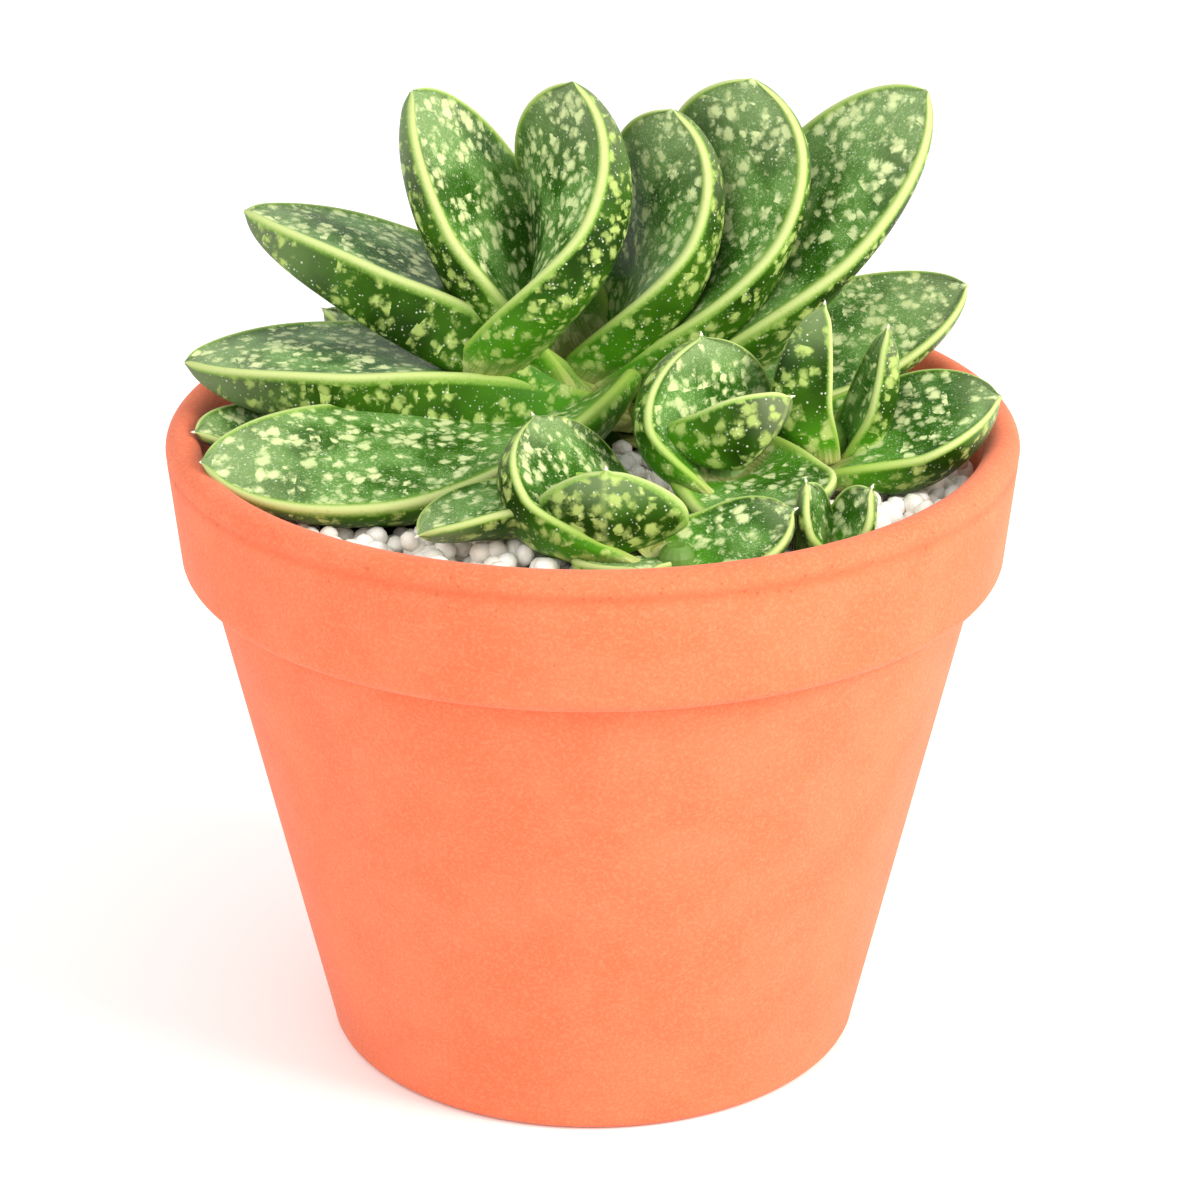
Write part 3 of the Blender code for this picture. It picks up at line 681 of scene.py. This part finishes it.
def is_clear(tree, spot, radius):
    """Whether a pebble at a spot keeps out of the leaves."""
    near, normal, _, distance = tree.find_nearest(spot, radius * 2)
    if near is None:
        return True
    return distance > radius * 0.75 and (spot - near).dot(normal) > 0


def make_stone(draw):
    """One lumpy stone of 80 faces and unit radius."""
    bm = bmesh.new()
    bmesh.ops.create_icosphere(bm, subdivisions=2, radius=1)
    lump = Vector([draw.uniform(-1, 1) for _ in range(3)]).normalized()
    for vert in bm.verts:
        vert.co *= 1 + STONE_LUMP * vert.co.dot(lump) + draw.uniform(-STONE_GRAIN, STONE_GRAIN)
    bmesh.ops.scale(bm, vec=[draw.uniform(*STONE_SQUASH) for _ in range(3)], verts=bm.verts)
    stone = bpy.data.meshes.new("stone")
    bm.to_mesh(stone)
    bm.free()
    stone.shade_smooth()
    return stone


def pebble_places(draw, tree):
    """Two layers of places on a wandering lattice, kept clear of the leaves and the pot, with a radius each."""
    row_gap = PEBBLE_PITCH * math.sqrt(3) / 2
    rows = int(RIM_RADIUS / row_gap) + 1
    for height, filled in PEBBLE_LAYERS:
        for row in range(-rows, rows + 1):
            for column in range(-rows, rows + 1):
                radius = draw.uniform(*PEBBLE_RADIUS)
                spot = Vector(((column + 0.5 * (row % 2)) * PEBBLE_PITCH, row * row_gap, height))
                spot += Vector([draw.uniform(-1, 1) * wander for wander in PEBBLE_WANDER])
                if draw.random() > filled or spot.xy.length > RIM_RADIUS - WALL - radius:
                    continue
                if is_clear(tree, spot, radius):
                    yield spot, radius


def joined(pieces, name):
    """Several objects made one, with its place in its mesh."""
    bpy.ops.object.select_all(action="DESELECT")
    for piece in pieces:
        piece.select_set(True)
    bpy.context.view_layer.objects.active = pieces[0]
    bpy.ops.object.join()
    whole = pieces[0]
    whole.data.transform(whole.matrix_world)
    whole.matrix_world = Matrix.Identity(4)
    whole.name = name
    whole.data.name = name
    return whole


def make_pebbles(finish, leaves):
    """A few kinds of stone, turned and laid in their hundreds."""
    draw = random.Random(PEBBLE_SEED)
    kinds = [make_stone(draw) for _ in range(STONE_KINDS)]
    stones = []
    for spot, radius in pebble_places(draw, tree_of(leaves)):
        stone = bpy.data.objects.new("stone", draw.choice(kinds).copy() if not stones else draw.choice(kinds))
        axis = Vector([draw.uniform(-1, 1) for _ in range(3)])
        turn = Matrix.Rotation(draw.uniform(0, math.tau), 4, axis)
        stone.matrix_world = Matrix.Translation(spot * MM) @ turn @ Matrix.Scale(radius * MM, 4)
        bpy.context.scene.collection.objects.link(stone)
        stones.append(stone)
    bed = joined(stones, "white_pebbles")
    for kind in kinds:
        bpy.data.meshes.remove(kind)
    bed.data.materials.append(finish)
    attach(bed, BODY)
    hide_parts("gravel")
    return bed


# The studio
def make_camera():
    down = math.radians(CAMERA_DOWN)
    view = Vector((0, math.cos(down), -math.sin(down)))
    lens = bpy.data.cameras.new("camera")
    lens.sensor_width = SENSOR
    lens.lens = FOCAL_PIXELS / PICTURE_SIDE * SENSOR
    camera = bpy.data.objects.new("camera", lens)
    camera.location = (CAMERA_AIM - view * CAMERA_DISTANCE) * MM
    camera.rotation_euler = (math.pi / 2 - down, 0, 0)
    bpy.context.scene.collection.objects.link(camera)
    bpy.context.scene.camera = camera


def soft_light(name, place, aim, side, power, colour):
    """A square soft box at a place in metres, turned to face its aim."""
    light = bpy.data.lights.new(name, "AREA")
    light.shape = "SQUARE"
    light.size = side
    light.energy = power
    light.color = linear(colour)[:3]
    lamp = bpy.data.objects.new(name, light)
    lamp.location = place
    lamp.rotation_euler = (Vector(aim) - Vector(place)).to_track_quat("-Z", "Y").to_euler()
    bpy.context.scene.collection.objects.link(lamp)


def make_studio():
    world = bpy.data.worlds.new("white_studio")
    world.use_nodes = True
    sky = world.node_tree.nodes["Background"]
    sky.inputs["Color"].default_value = linear("FFFFFF")
    sky.inputs["Strength"].default_value = 1.0
    bpy.context.scene.world = world
    soft_light("key_box", (0.75, -0.35, 0.55), (0, 0, 0.08), 0.5, 10.5, "FFF8F0")
    soft_light("fill_box", (-0.5, -0.7, 0.7), (0, 0, 0.06), 0.7, 4.0, "FFFFFF")
    bm = bmesh.new()
    bmesh.ops.create_grid(bm, x_segments=1, y_segments=1, size=3000)
    floor = piece_from(bm, "studio_floor", studio_paper())
    bpy.context.scene.view_settings.view_transform = "Standard"


def finish_node(name, finish):
    """Gives a CAD node that stays in view its material."""
    for slot in bpy.data.objects[name].material_slots:
        slot.material = finish


def main():
    make_camera()
    make_studio()
    make_pot(fired_terracotta())
    skin = gasteria_skin()
    leaves = [make_leaf(leaf, number, skin) for number, leaf in enumerate(LEAVES)]
    make_pebbles(tumbled_pebble(), leaves)
    finish_node("soil", potting_mix())
    flesh = stem_flesh_in_painted_shade()
    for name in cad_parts:
        if name.endswith("_stem"):
            finish_node(name, flesh)


main()
